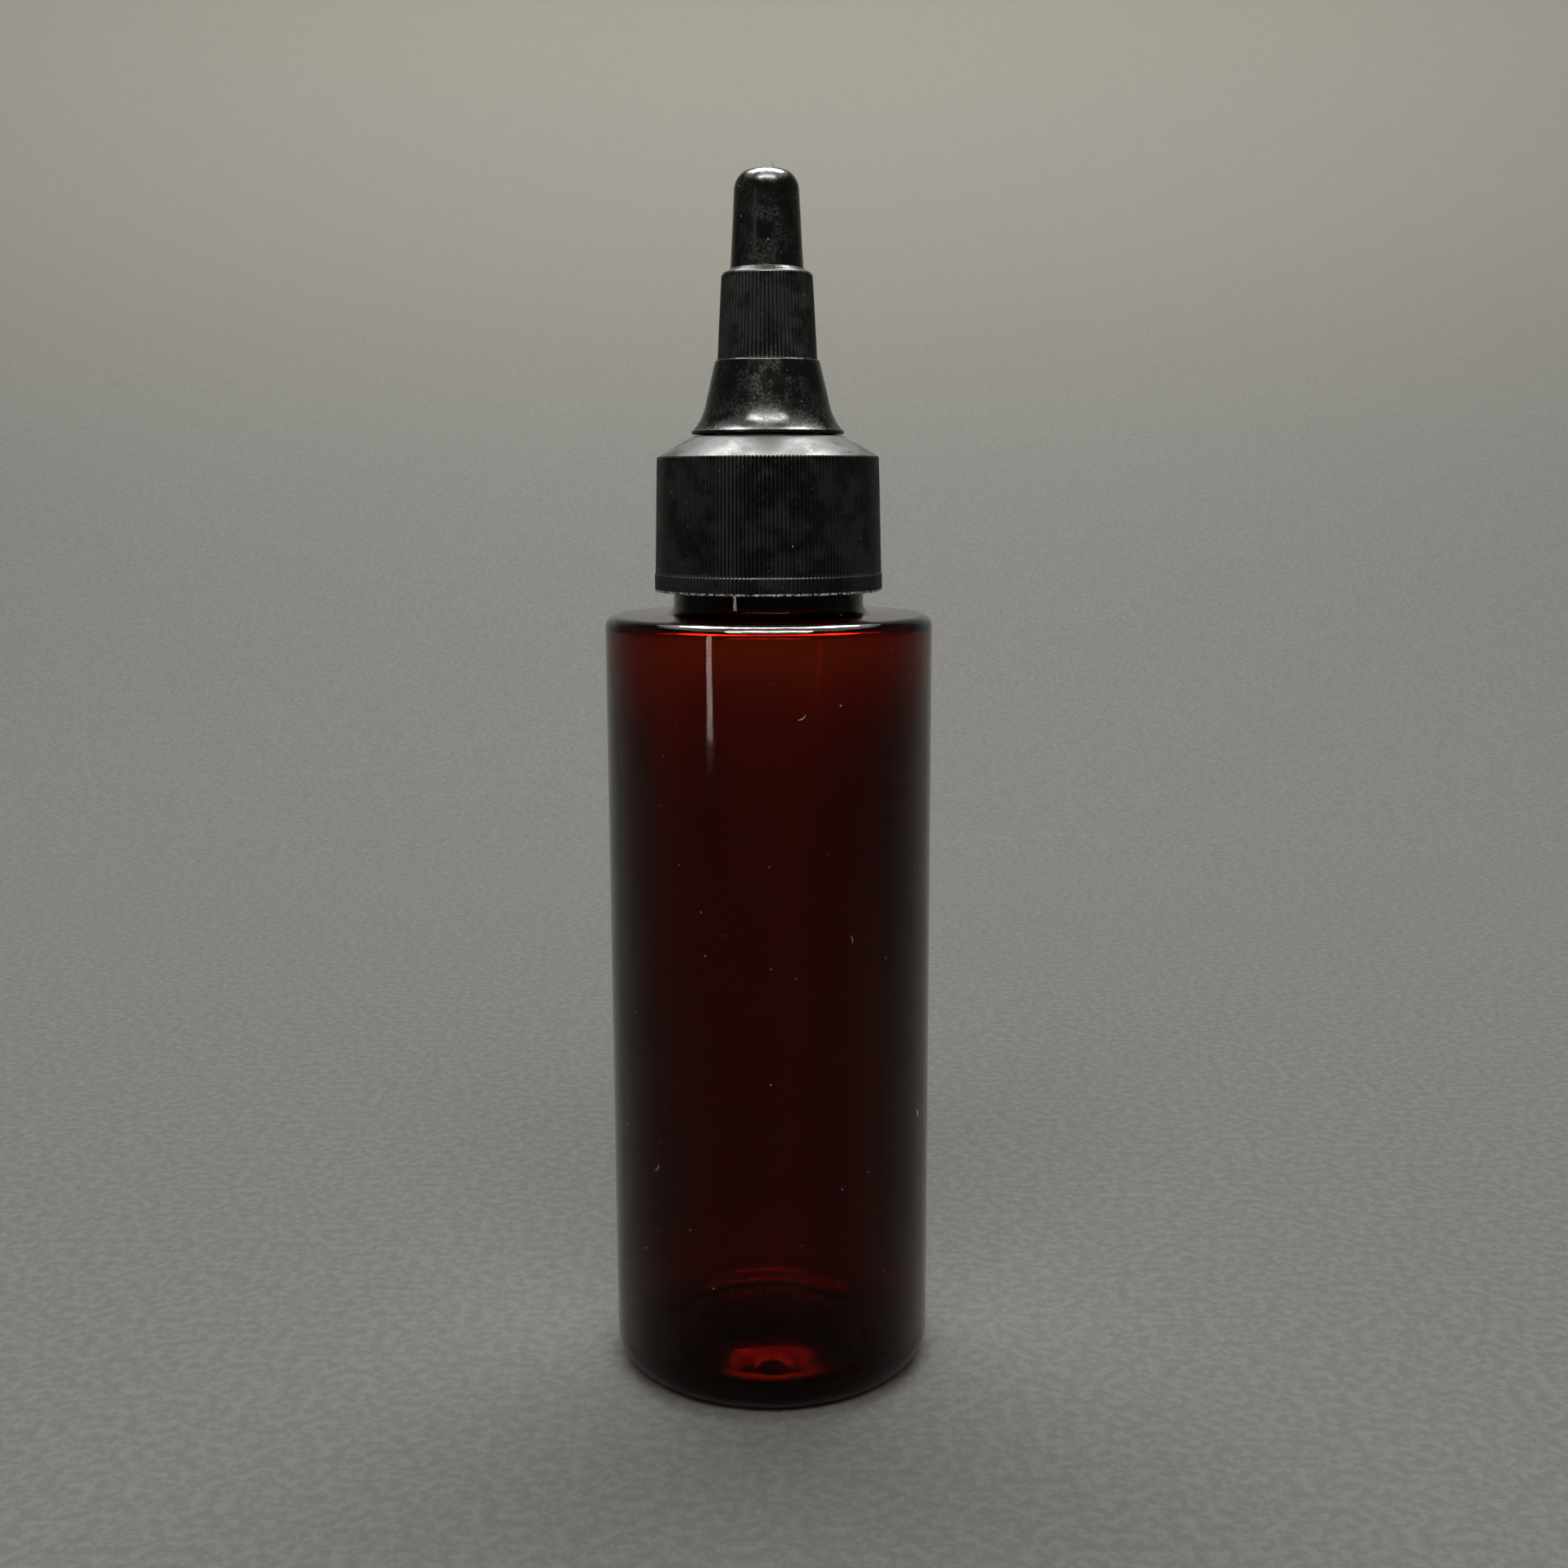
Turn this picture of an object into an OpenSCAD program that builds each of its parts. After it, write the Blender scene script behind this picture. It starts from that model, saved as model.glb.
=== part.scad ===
// Squeeze bottle with a ribbed screw cap and a twist-open applicator nozzle.
// Units are millimetres. The bottle stands on z = 0 and every turned part shares the Z axis.
// Outer sizes grow from the inside out: each wall and clearance is added to the size that it encloses.

/* [Bottle] */
// Diameter of the straight body
body_diameter = 38.8; // [30:0.1:60]
// Height of the shoulder's outer edge above the floor
body_height = 92.4; // [60:0.1:160]
// Wall of the blown body
body_wall = 0.8; // [0.6:0.05:1.6]
// Corner radius between the body and the foot
foot_corner = 3.6; // [1.4:0.1:4]
// Corner radius between the body and the shoulder
shoulder_corner = 1.4; // [1:0.1:3]
// Rise of the shoulder from its outer edge to the neck
shoulder_rise = 0.2; // [0.2:0.1:3]
// Height of the push-up in the middle of the base
push_up = 3.2; // [1:0.1:5]

/* [Neck] */
// Diameter over the neck's thread
thread_diameter = 23.8; // [19:0.1:28.8]
// Height of the neck's thread above the neck
thread_depth = 1.15; // [0.9:0.05:1.5]
// Rise of the neck's thread in one turn
thread_pitch = 3.175; // [2.6:0.005:4]
// Turns of thread on the neck
thread_turns = 1.5; // [1:0.25:1.75]
// Wall of the neck
neck_wall = 1.85; // [1.4:0.05:2.4]
// Height of the lip above the shoulder
finish_height = 16.7; // [16.4:0.1:22]
// Radius of the fillet between the shoulder and the neck
neck_fillet = 1.3; // [0.8:0.1:2.4]

/* [Cap] */
// Space between the shoulder and the cap's lower edge
neck_gap = 2.8; // [2.6:0.1:4.4]
// Wall of the skirt at its lower edge, ribs included
skirt_wall = 1.3; // [1.1:0.05:2]
// Height of the plain band around the skirt's lower edge
band_height = 2; // [1:0.1:3]
// Step from the plain band in to the ribs
band_step = 0.1; // [0.05:0.01:0.2]
// Slope of the skirt, in degrees
skirt_draft = 1.4; // [0:0.1:2]
// Ribs around the skirt
skirt_ribs = 180; // [60:1:200]
// Depth of the grooves between the ribs
rib_depth = 0.16; // [0.08:0.01:0.24]
// Wall between the cap's inner roof and the deck's outer edge
roof_wall = 0.8; // [0.6:0.05:1.6]
// Slope of the deck, in degrees
deck_slope = 30.5; // [20:0.5:40]
// Thickness of the foam liner
liner_thickness = 0.8; // [0.5:0.05:1.5]

/* [Spout] */
// Diameter of the spout's bore
spout_bore = 4.8; // [4:0.1:6]
// Wall of the spout's tube
spout_wall = 1; // [0.8:0.05:1.6]
// Diameter of the sealing pin's head
pin_diameter = 3.15; // [2.6:0.05:3.8]
// Rise of the nozzle's thread in one turn
nozzle_lead = 6; // [4.8:0.1:7.2]
// Threads side by side on the spout
nozzle_starts = 2; // [1:1:2]
// Height of the spout's thread above its post
post_thread_depth = 0.65; // [0.5:0.05:0.8]

/* [Nozzle] */
// Open height between the deck and the nozzle's rim
nozzle_gap = 0.2; // [0.15:0.05:0.6]
// Height of the flared part
flare_height = 8.4; // [7.6:0.1:11]
// Height of the ribbed grip
grip_height = 9.5; // [8:0.1:12]
// Height of the smooth tip
tip_height = 11; // [9.2:0.1:14]
// Slope of the grip and the tip, in degrees
nozzle_draft = 3.2; // [1:0.1:3.6]
// Ribs around the grip
grip_ribs = 72; // [36:1:90]
// Wall between the pin's chamber and the top of the tip
tip_wall = 1; // [0.8:0.05:1.4]
// Wall between the spout's seat and the grip's lower edge
grip_wall = 2.22; // [1.8:0.02:2.8]
// Overhang of the flare's rim beyond the grip's lower edge
flare_overhang = 3.1; // [2.4:0.1:4]

/* [Fits] */
// Radial clearance between the neck's thread and the cap
thread_clearance = 0.25; // [0.2:0.05:0.4]
// Radial clearance between turning parts that seal
running_clearance = 0.025; // [0.015:0.005:0.04]
// Space around the pin, through which glue flows
flow_gap = 1.18; // [1:0.02:1.6]

/* [Hidden] */
$fn = 96;
bury = 0.3;
thread_step = 12;
arc_steps = 8;

// Bottle and neck
body_r = body_diameter / 2;
thread_r = thread_diameter / 2;
neck_r = thread_r - thread_depth;
bore_r = neck_r - neck_wall;
collar_r = neck_r + 0.5;
collar_height = 3.8;
bead_r = thread_r - 0.2;
bead_height = 5.6;
bead_width = 0.6;
bead_slope = 0.4;
lip_chamfer = 0.4;
corner_turn = 84;
shoulder_z = body_height + shoulder_rise;
lip_z = shoulder_z + finish_height;
foot_width = 3.9;
foot_inner_r = body_r - foot_corner - foot_width;
gate_r = 1.1;
gate_depth = 0.6;
gate_step = 0.5;
dome_steps = 8;
dome_power = 2.4;
base_wall = body_wall + 0.4;
thread_root_width = 2;
thread_crest_width = 0.9;
thread_start = 15;
cap_root_width = 1.5;
cap_crest_width = 0.7;
thread_top_z = lip_z - 2.3;
thread_low_z = thread_top_z - thread_pitch * thread_turns;

// Cap
cap_bore_r = thread_r + thread_clearance;
band_r = cap_bore_r + skirt_wall;
skirt_low_z = shoulder_z + neck_gap;
skirt_rib_z = skirt_low_z + band_height;
roof_z = lip_z + liner_thickness;
deck_edge_z = roof_z + roof_wall;
skirt_low_r = band_r - band_step;
skirt_top_r = skirt_low_r - (deck_edge_z - skirt_rib_z) * tan(skirt_draft);
liner_r = cap_bore_r - 0.35;
liner_hole_r = bore_r - 2.4;
deck_wall = 1.2;

// Spout and pin
spout_bore_r = spout_bore / 2;
spout_r = spout_bore_r + spout_wall;
seat_r = spout_r + 0.2;
seat_bead_z = 1.9;
seat_bead_width = 0.8;
spider_height = 6;
spider_width = 0.8;
spider_arms = 3;
post_r = spout_r + 0.8;
post_thread_r = post_r + post_thread_depth;
sleeve_bore_r = post_thread_r + thread_clearance;
sleeve_r = sleeve_bore_r + 0.9;
pin_r = pin_diameter / 2;
shank_r = pin_r - 0.45;
mouth_bore_r = pin_r + running_clearance;
chamber_r = pin_r + flow_gap;

// Nozzle
grip_low_r = seat_r + grip_wall;
rim_r = grip_low_r + flare_overhang;
deck_top_z = deck_edge_z + (skirt_top_r - rim_r) * tan(deck_slope);
rim_z = deck_top_z + nozzle_gap;
grip_low_z = rim_z + flare_height;
grip_top_z = grip_low_z + grip_height;
grip_top_r = grip_low_r - grip_height * tan(nozzle_draft);
flare_top_r = grip_low_r + 0.35;
tip_corner_width = 2.05;
tip_corner_height = 2.4;
tip_low_z = grip_top_z + 0.9;
tip_top_z = tip_low_z + tip_height;
tip_top_r = chamber_r + tip_wall;
tip_low_r = tip_top_r + (tip_height - tip_corner_height) * tan(nozzle_draft);
mouth_seat_r = tip_top_r - tip_corner_width + 0.7;
mouth_flange_z = tip_top_z - 1.8;
mouth_low_z = mouth_flange_z - 1.2;
spout_top_z = grip_top_z - 1;
post_top_z = rim_z + 7.4;
sleeve_low_z = deck_top_z + 0.05;
post_root_width = 1.3;
post_crest_width = 0.6;
post_turns = 0.75;
sleeve_turns = 0.5;
post_low_z = rim_z + 1.2;
sleeve_thread_z = rim_z + 0.9;
sleeve_phase = 360 * (sleeve_thread_z - post_low_z) / nozzle_lead + 180 / nozzle_starts;
chamber_low_z = grip_top_z + 1.2;

// Points along a quarter or other part of an ellipse, from angle a0 to angle a1.
function arc(cx, cz, rx, rz, a0, a1, steps = arc_steps) =
    [for (i = [0:steps]) let (a = a0 + (a1 - a0) * i / steps) [cx + rx * cos(a), cz + rz * sin(a)]];

// Points down the pushed-up base, from a radius near its middle out to the foot.
function dome(from_r, low_z, top_z) =
    [for (i = [0:dome_steps]) let (t = i / dome_steps)
        [from_r + (foot_inner_r - from_r) * t, low_z + (top_z - low_z) * (1 - pow(t, dome_power))]];

// Points down the flare: a straight slope under the grip that sweeps out to the rim.
function flare_curve(steps = 10) =
    let (turn_r = flare_top_r + 0.95, turn_z = grip_low_z - 4.4)
    concat(
        [[grip_low_r, grip_low_z], [flare_top_r - 0.12, grip_low_z - 0.06], [flare_top_r, grip_low_z - 0.3]],
        [for (i = [0:steps]) let (t = i / steps)
            [turn_r + (rim_r - turn_r) * (0.5 * t + 0.5 * pow(t, 2)),
             turn_z + (rim_z + 0.35 - turn_z) * (1.35 * t - 0.35 * pow(t, 2))]],
        [[rim_r, rim_z]]);

// One helical ridge with a trapezoid section. Its crest fades out over the first and last 36 degrees.
module ridge(root_r, crest_r, root_w, crest_w, lead, turns, low_z, start) {
    steps = ceil(turns * 360 / thread_step);
    fade = 36 / thread_step;
    sections = [for (i = [0:steps])
        let (a = start + i * turns * 360 / steps,
             z = low_z + lead * turns * i / steps,
             k = max(0.12, min(1, i / fade, (steps - i) / fade)),
             crest = root_r + (crest_r - root_r) * k)
        for (p = [[root_r, -root_w], [crest, -crest_w], [crest, crest_w], [root_r, root_w]])
            [p[0] * cos(a), p[0] * sin(a), z + p[1] / 2]];
    inward = crest_r < root_r;
    sides = [for (i = [0:steps - 1], j = [0:3], half = [0, 1])
        let (a = 4 * i + j, b = 4 * i + (j + 1) % 4, c = b + 4, d = a + 4)
        half == 0 ? [a, b, c] : [a, c, d]];
    ends = [[3, 2, 1, 0], [for (j = [0:3]) 4 * steps + j]];
    faces = concat(sides, ends);
    polyhedron(sections, [for (f = faces) inward ? [for (i = [len(f) - 1:-1:0]) f[i]] : f]);
}

// V grooves around a cone, which leave ribs of equal depth between them.
module grooves(count, low_r, top_r, low_z, top_z, depth) {
    lean = atan2(low_r - top_r, top_z - low_z);
    length = norm([low_r - top_r, top_z - low_z]);
    half = PI * top_r / count * 0.72;
    for (i = [0:count - 1])
        rotate([0, 0, (i + 0.5) * 360 / count])
            translate([low_r - depth, 0, low_z])
                rotate([0, -lean, 0])
                    linear_extrude(length)
                        polygon([[0, 0], [2 * depth, -2 * half], [2 * depth, 2 * half]]);
}

// Blown amber bottle: body, shoulder, threaded neck and pushed-up base.
module bottle() {
    color([0.32, 0.09, 0.03])
        union() {
            difference() {
                rotate_extrude() bottle_outline();
                rotate_extrude() bottle_cavity();
            }
            ridge(neck_r - bury, thread_r, thread_root_width, thread_crest_width,
                  thread_pitch, thread_turns, thread_low_z, thread_start);
        }
}

module bottle_outline() {
    fillet_r = collar_r + neck_fillet;
    gate_z = push_up - gate_step;
    bead_z = shoulder_z + bead_height;
    polygon(concat(
        [[0, gate_z - gate_depth], [gate_r, gate_z - gate_depth]],
        dome(gate_r + 0.4, 0, gate_z),
        arc(body_r - foot_corner, foot_corner, foot_corner, foot_corner, -90, 0),
        arc(body_r - shoulder_corner, body_height - shoulder_corner,
            shoulder_corner, shoulder_corner, 0, corner_turn),
        arc(fillet_r, shoulder_z + neck_fillet, neck_fillet, neck_fillet, 268, 180),
        [[collar_r, shoulder_z + collar_height], [neck_r, shoulder_z + collar_height + collar_r - neck_r],
         [neck_r, bead_z - bead_slope], [bead_r, bead_z],
         [bead_r, bead_z + bead_width], [neck_r, bead_z + bead_width + bead_slope]],
        [[neck_r, lip_z - lip_chamfer], [neck_r - lip_chamfer, lip_z], [0, lip_z]]));
}

module bottle_cavity() {
    inner_r = body_r - body_wall;
    inner_corner = shoulder_corner - 0.6;
    roof = body_height - body_wall;
    polygon(concat(
        dome(0, base_wall, push_up + base_wall),
        arc(inner_r - foot_corner, base_wall + foot_corner, foot_corner, foot_corner, -90, 0),
        arc(inner_r - inner_corner, roof - inner_corner, inner_corner, inner_corner, 0, corner_turn),
        arc(bore_r + neck_fillet, shoulder_z - body_wall + neck_fillet, neck_fillet, neck_fillet, 268, 180),
        [[bore_r, lip_z + 1], [0, lip_z + 1]]));
}

// Screw cap in one moulding: ribbed skirt, sloping deck, spout, spider and sealing pin.
module cap_base() {
    color([0.05, 0.05, 0.055])
        union() {
            difference() {
                rotate_extrude() cap_outline();
                grooves(skirt_ribs, skirt_low_r, skirt_top_r, skirt_rib_z + 0.3, deck_edge_z, rib_depth);
            }
            ridge(cap_bore_r + bury, neck_r + thread_clearance, cap_root_width, cap_crest_width,
                  thread_pitch, thread_turns, thread_low_z - thread_pitch / 2, thread_start);
            for (i = [0:nozzle_starts - 1])
                ridge(post_r - bury, post_thread_r, post_root_width, post_crest_width,
                      nozzle_lead, post_turns, post_low_z, i * 360 / nozzle_starts);
            rotate_extrude() pin_outline();
            for (i = [0:spider_arms - 1])
                rotate([0, 0, 360 / spider_arms * i + 90])
                    translate([0, -spider_width / 2, spout_top_z - spider_height])
                        cube([spout_bore_r + bury, spider_width, spider_height - 0.4]);
        }
}

module cap_outline() {
    edge = 0.5;
    seat_low_z = spout_top_z - seat_bead_z;
    polygon(concat(
        [[cap_bore_r, skirt_low_z], [band_r - 0.25, skirt_low_z], [band_r, skirt_low_z + 0.25],
         [band_r, skirt_rib_z - 0.1], [skirt_low_r, skirt_rib_z]],
        arc(skirt_top_r - edge, deck_edge_z - edge, edge, edge, 0, 90 - deck_slope),
        [[rim_r - 0.2, deck_top_z], [post_r, deck_top_z]],
        [[post_r, post_top_z - 0.6], [spout_r, post_top_z]],
        [[spout_r, seat_low_z - 0.3], [seat_r - running_clearance, seat_low_z],
         [seat_r - running_clearance, seat_low_z + seat_bead_width],
         [spout_r, seat_low_z + seat_bead_width + 0.3]],
        [[spout_r, spout_top_z - 0.3], [spout_r - 0.3, spout_top_z], [spout_bore_r, spout_top_z]],
        [[spout_bore_r, deck_top_z - deck_wall], [rim_r - 1.6, deck_top_z - deck_wall],
         [bore_r + 0.4, roof_z], [cap_bore_r, roof_z]]));
}

module pin_outline() {
    polygon([[0, spout_top_z - spider_height], [shank_r, spout_top_z - spider_height],
             [shank_r, mouth_low_z - 0.6], [pin_r, mouth_low_z + 0.3],
             [pin_r, tip_top_z - 0.12], [pin_r - 0.2, tip_top_z], [0, tip_top_z]]);
}

// Foam washer between the bottle's lip and the cap's roof.
module liner() {
    color([0.92, 0.92, 0.9])
        translate([0, 0, lip_z])
            difference() {
                cylinder(h = liner_thickness, r = liner_r);
                translate([0, 0, -1]) cylinder(h = liner_thickness + 2, r = liner_hole_r);
            }
}

// Twist-open nozzle: flare, ribbed grip and smooth tip, with two inner threads.
module nozzle() {
    color([0.05, 0.05, 0.055])
        union() {
            difference() {
                rotate_extrude() nozzle_outline();
                grooves(grip_ribs, grip_low_r, grip_top_r, grip_low_z, grip_top_z + 1, 0.22);
            }
            for (i = [0:nozzle_starts - 1])
                ridge(sleeve_bore_r + bury, post_r + 0.15, post_root_width, post_crest_width,
                      nozzle_lead, sleeve_turns, sleeve_thread_z, sleeve_phase + i * 360 / nozzle_starts);
        }
}

module nozzle_outline() {
    ledge = 0.35;
    polygon(concat(
        [[mouth_seat_r, mouth_flange_z]],
        tip_curve(mouth_seat_r),
        [[tip_low_r, tip_low_z], [tip_low_r + 0.15, tip_low_z - 0.2]],
        arc(grip_top_r - ledge, grip_top_z - ledge, ledge, ledge, 65, 0, 4),
        flare_curve(),
        [[rim_r - 0.9, rim_z], [sleeve_r + 1.05, rim_z + 1.9], [sleeve_r + 0.35, rim_z + 3.8],
         [sleeve_r + 0.1, rim_z + 3.8], [sleeve_r, sleeve_low_z], [sleeve_bore_r, sleeve_low_z]],
        [[sleeve_bore_r, post_top_z + 0.8], [seat_r, post_top_z + 2.2]],
        [[seat_r, grip_top_z], [chamber_r, chamber_low_z], [chamber_r, mouth_flange_z]]));
}

// Points down the rounded top of the tip, from a given radius out to its side.
function tip_curve(from_r) =
    let (cx = tip_top_r - tip_corner_width, cz = tip_top_z - tip_corner_height,
         a0 = acos((from_r - cx) / tip_corner_width))
    arc(cx, cz, tip_corner_width, tip_corner_height, a0, 0);

// Ring around the tip's orifice. It rises with the nozzle and closes on the pin's head.
module nozzle_mouth() {
    neck = mouth_seat_r - running_clearance;
    flange = chamber_r - running_clearance;
    cx = tip_top_r - tip_corner_width;
    cz = tip_top_z - tip_corner_height;
    top_a = acos((neck - cx) / tip_corner_width);
    color([0.05, 0.05, 0.055])
        rotate_extrude()
            polygon(concat(
                [[mouth_bore_r, mouth_low_z + 0.6], [mouth_bore_r + 0.5, mouth_low_z], [flange, mouth_low_z],
                 [flange, mouth_flange_z - running_clearance], [neck, mouth_flange_z - running_clearance]],
                arc(cx, cz, tip_corner_width, tip_corner_height, top_a, 90, 4),
                [[mouth_bore_r + 0.1, tip_top_z], [mouth_bore_r, tip_top_z - 0.1]]));
}

bottle();
cap_base();
liner();
nozzle();
nozzle_mouth();
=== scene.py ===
"""Studio scene of a glue applicator bottle: amber bottle, ribbed screw cap and twist-open nozzle."""

import logging
import math
from dataclasses import dataclass, field
from enum import Enum
from typing import Callable, Iterable, Sequence, Union

import bpy
from mathutils import Matrix, Vector


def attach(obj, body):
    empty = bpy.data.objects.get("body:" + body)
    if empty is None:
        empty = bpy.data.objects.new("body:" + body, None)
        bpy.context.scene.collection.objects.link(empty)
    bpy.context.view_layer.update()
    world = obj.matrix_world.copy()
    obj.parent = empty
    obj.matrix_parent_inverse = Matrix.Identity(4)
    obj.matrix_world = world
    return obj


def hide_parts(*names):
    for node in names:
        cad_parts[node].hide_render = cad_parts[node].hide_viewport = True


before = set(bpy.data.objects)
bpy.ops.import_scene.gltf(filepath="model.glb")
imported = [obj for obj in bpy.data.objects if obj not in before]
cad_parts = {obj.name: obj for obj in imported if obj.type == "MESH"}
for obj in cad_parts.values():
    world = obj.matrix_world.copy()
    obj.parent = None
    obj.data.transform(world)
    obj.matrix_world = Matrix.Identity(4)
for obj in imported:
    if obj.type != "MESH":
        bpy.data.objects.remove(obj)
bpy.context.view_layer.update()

MM = 0.001
NECK_LEAD = 3.175
SPOUT_LEAD = 6.0
LOG = logging.getLogger("glue_bottle")


class Body(str, Enum):
    """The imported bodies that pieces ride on."""

    BOTTLE = "bottle"
    LINER = "liner"
    CAP = "cap_base"
    NOZZLE = "nozzle"


class Slot(str, Enum):
    """The record's material slots."""

    AMBER = "amber_pet"
    BLACK = "black_pp"
    FOAM = "white_foam"


# --- Outlines ---


@dataclass
class Outline:
    """A turned shape's outline in radius and height, in millimetres, with rounded corners.

    Attributes:
        corners: Radius, height and corner radius of each point, in order.
        fineness: Angle in degrees that one step of a rounded corner turns through.
    """

    REACH_SHARE = 0.48
    NEARLY_STRAIGHT = 0.02

    corners: list[tuple[float, float, float]] = field(default_factory=list)
    fineness: float = 9.0

    def to(self, radius: float, height: float, rounding: float = 0.0) -> "Outline":
        """Add one corner and return the outline, so that calls can be chained."""
        self.corners.append((radius, height, rounding))
        return self

    def along(self, curve: Callable[[float], tuple[float, float]], steps: int) -> "Outline":
        """Add points of a curve.

        Args:
            curve: Gives radius and height for a share from 0 to 1.
            steps: Number of steps along the curve.

        Returns:
            The same outline.
        """
        for step in range(steps + 1):
            self.to(*curve(step / steps))
        return self

    def points(self, closed: bool) -> list[Vector]:
        """Work out the outline's points in metres, in the XZ plane.

        Args:
            closed: Whether the last corner joins the first.

        Returns:
            The points, with each rounded corner as an arc.
        """
        flat = [Vector((r, z)) for r, z, _ in self.corners]
        result: list[Vector] = []
        for index, (_, _, rounding) in enumerate(self.corners):
            here = flat[index]
            inner = closed or 0 < index < len(flat) - 1
            if rounding <= 0 or not inner:
                result.append(here)
                continue
            result += self._arc(flat[index - 1], here, flat[(index + 1) % len(flat)], rounding)
        return [Vector((p.x * MM, 0.0, p.y * MM)) for p in result]

    def _arc(self, before: Vector, corner: Vector, after: Vector, rounding: float) -> list[Vector]:
        """Points of the fillet that rounds one corner."""
        back, ahead = (before - corner), (after - corner)
        reach_limit = self.REACH_SHARE * min(back.length, ahead.length)
        back.normalize()
        ahead.normalize()
        opening = back.angle(ahead)
        if math.pi - opening < self.NEARLY_STRAIGHT:
            return [corner]
        reach = min(rounding / math.tan(opening / 2), reach_limit)
        radius = reach * math.tan(opening / 2)
        middle = corner + (back + ahead).normalized() * (radius / math.sin(opening / 2))
        start, end = corner + back * reach, corner + ahead * reach
        turn = math.pi - opening
        steps = max(2, round(math.degrees(turn) / self.fineness))
        first, last = start - middle, end - middle
        sign = 1.0 if first.x * last.y - first.y * last.x > 0 else -1.0
        arc = []
        for step in range(steps + 1):
            angle = sign * turn * step / steps
            cosine, sine = math.cos(angle), math.sin(angle)
            turned = Vector((first.x * cosine - first.y * sine, first.x * sine + first.y * cosine))
            arc.append(middle + turned)
        return arc


# --- Modelling by hand ---


@dataclass(frozen=True)
class Winding:
    """How a thread winds.

    Attributes:
        low: Height of the middle of its lower end, in millimetres.
        lead: Rise in one turn, in millimetres.
        turns: Number of turns.
        start: Angle of its lower end, in degrees.
        fade: Angle over which each end sinks, in degrees.
    """

    low: float
    lead: float
    turns: float
    start: float
    fade: float = 36.0


class Bench:
    """Modelling moves in the order that a maker does them, each through Blender's own operators."""

    MERGE = 0.0005 * MM
    SAME_ANGLE = 1e-4
    FULL_DEPTH_FROM = 0.9
    SLOPE_DEPTH = 0.6
    STEPS_IN_TURN = 80
    END_HEIGHT = 0.12

    @staticmethod
    def clear_selection() -> None:
        """Deselect every object and leave edit mode."""
        if bpy.context.object is not None and bpy.context.object.mode != "OBJECT":
            bpy.ops.object.mode_set(mode="OBJECT")
        bpy.ops.object.select_all(action="DESELECT")

    @classmethod
    def choose(cls, piece: bpy.types.Object) -> None:
        """Select one piece alone and make it the active one."""
        cls.clear_selection()
        piece.select_set(True)
        bpy.context.view_layer.objects.active = piece

    @classmethod
    def merge_near(cls) -> None:
        """Select all of the piece in edit mode and merge the vertices that meet."""
        bpy.ops.mesh.select_all(action="SELECT")
        bpy.ops.mesh.remove_doubles(threshold=cls.MERGE)

    @staticmethod
    def swing(degrees: float) -> None:
        """Turn the selected vertices about the Z axis, anticlockwise as seen from above."""
        bpy.ops.transform.rotate(value=math.radians(-degrees), orient_axis="Z", center_override=(0, 0, 0))

    @classmethod
    def start_point(cls, name: str, place: Vector) -> bpy.types.Object:
        """Add a small plane at the origin, merge it to one vertex and move that to its place.

        Args:
            name: Name of the new object.
            place: Where the vertex goes, in metres.

        Returns:
            The object, left in edit mode with its vertex selected.
        """
        cls.clear_selection()
        bpy.ops.mesh.primitive_plane_add(size=MM, location=(0, 0, 0))
        piece = bpy.context.object
        piece.name = piece.data.name = name
        bpy.ops.object.mode_set(mode="EDIT")
        bpy.ops.mesh.select_mode(type="VERT")
        bpy.ops.mesh.select_all(action="SELECT")
        bpy.ops.mesh.merge(type="CENTER")
        bpy.ops.transform.translate(value=place)
        return piece

    @classmethod
    def draw(cls, name: str, points: Sequence[Vector], closed: bool) -> bpy.types.Object:
        """Draw a line of edges by extruding one vertex from point to point.

        Args:
            name: Name of the new object.
            points: The line's points, in metres.
            closed: Whether an edge joins the last point to the first.

        Returns:
            The object, left in edit mode with all of it selected.
        """
        piece = cls.start_point(name, points[0])
        route = list(points[1:]) + ([points[0]] if closed else [])
        here = points[0]
        for point in route:
            bpy.ops.mesh.extrude_region_move(TRANSFORM_OT_translate={"value": point - here})
            here = point
        cls.merge_near()
        return piece

    @classmethod
    def turn(cls, steps: int, degrees: float = 360.0) -> None:
        """Spin the selected line about the Z axis and merge what meets.

        Args:
            steps: Number of steps in the turn.
            degrees: Angle of the turn.
        """
        bpy.ops.mesh.spin(steps=steps, angle=math.radians(degrees), center=(0, 0, 0), axis=(0, 0, 1))
        cls.merge_near()

    @classmethod
    def repeat_round(cls, count: int) -> None:
        """Copy the selected wedge round the Z axis, so that a whole number of them closes the ring."""
        bpy.ops.mesh.spin(steps=count - 1, angle=math.tau * (count - 1) / count, dupli=True,
                          center=(0, 0, 0), axis=(0, 0, 1))
        cls.merge_near()

    @staticmethod
    def pick(piece: bpy.types.Object, test: Callable[[Vector], bool]) -> None:
        """Select the vertices that pass a test and nothing else.

        Args:
            piece: The object, in edit mode.
            test: Takes a vertex's place in metres.
        """
        bpy.ops.mesh.select_all(action="DESELECT")
        bpy.ops.object.mode_set(mode="OBJECT")
        for vertex in piece.data.vertices:
            vertex.select = test(vertex.co)
        bpy.ops.object.mode_set(mode="EDIT")

    @staticmethod
    def pull_in(share: float) -> None:
        """Scale the selected vertices towards the Z axis by a share of their radius."""
        bpy.ops.transform.resize(value=(share, share, 1), center_override=(0, 0, 0))

    @classmethod
    def face_out(cls) -> None:
        """Turn all faces of the piece in edit mode outwards."""
        bpy.ops.mesh.select_all(action="SELECT")
        bpy.ops.mesh.normals_make_consistent(inside=False)

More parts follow.
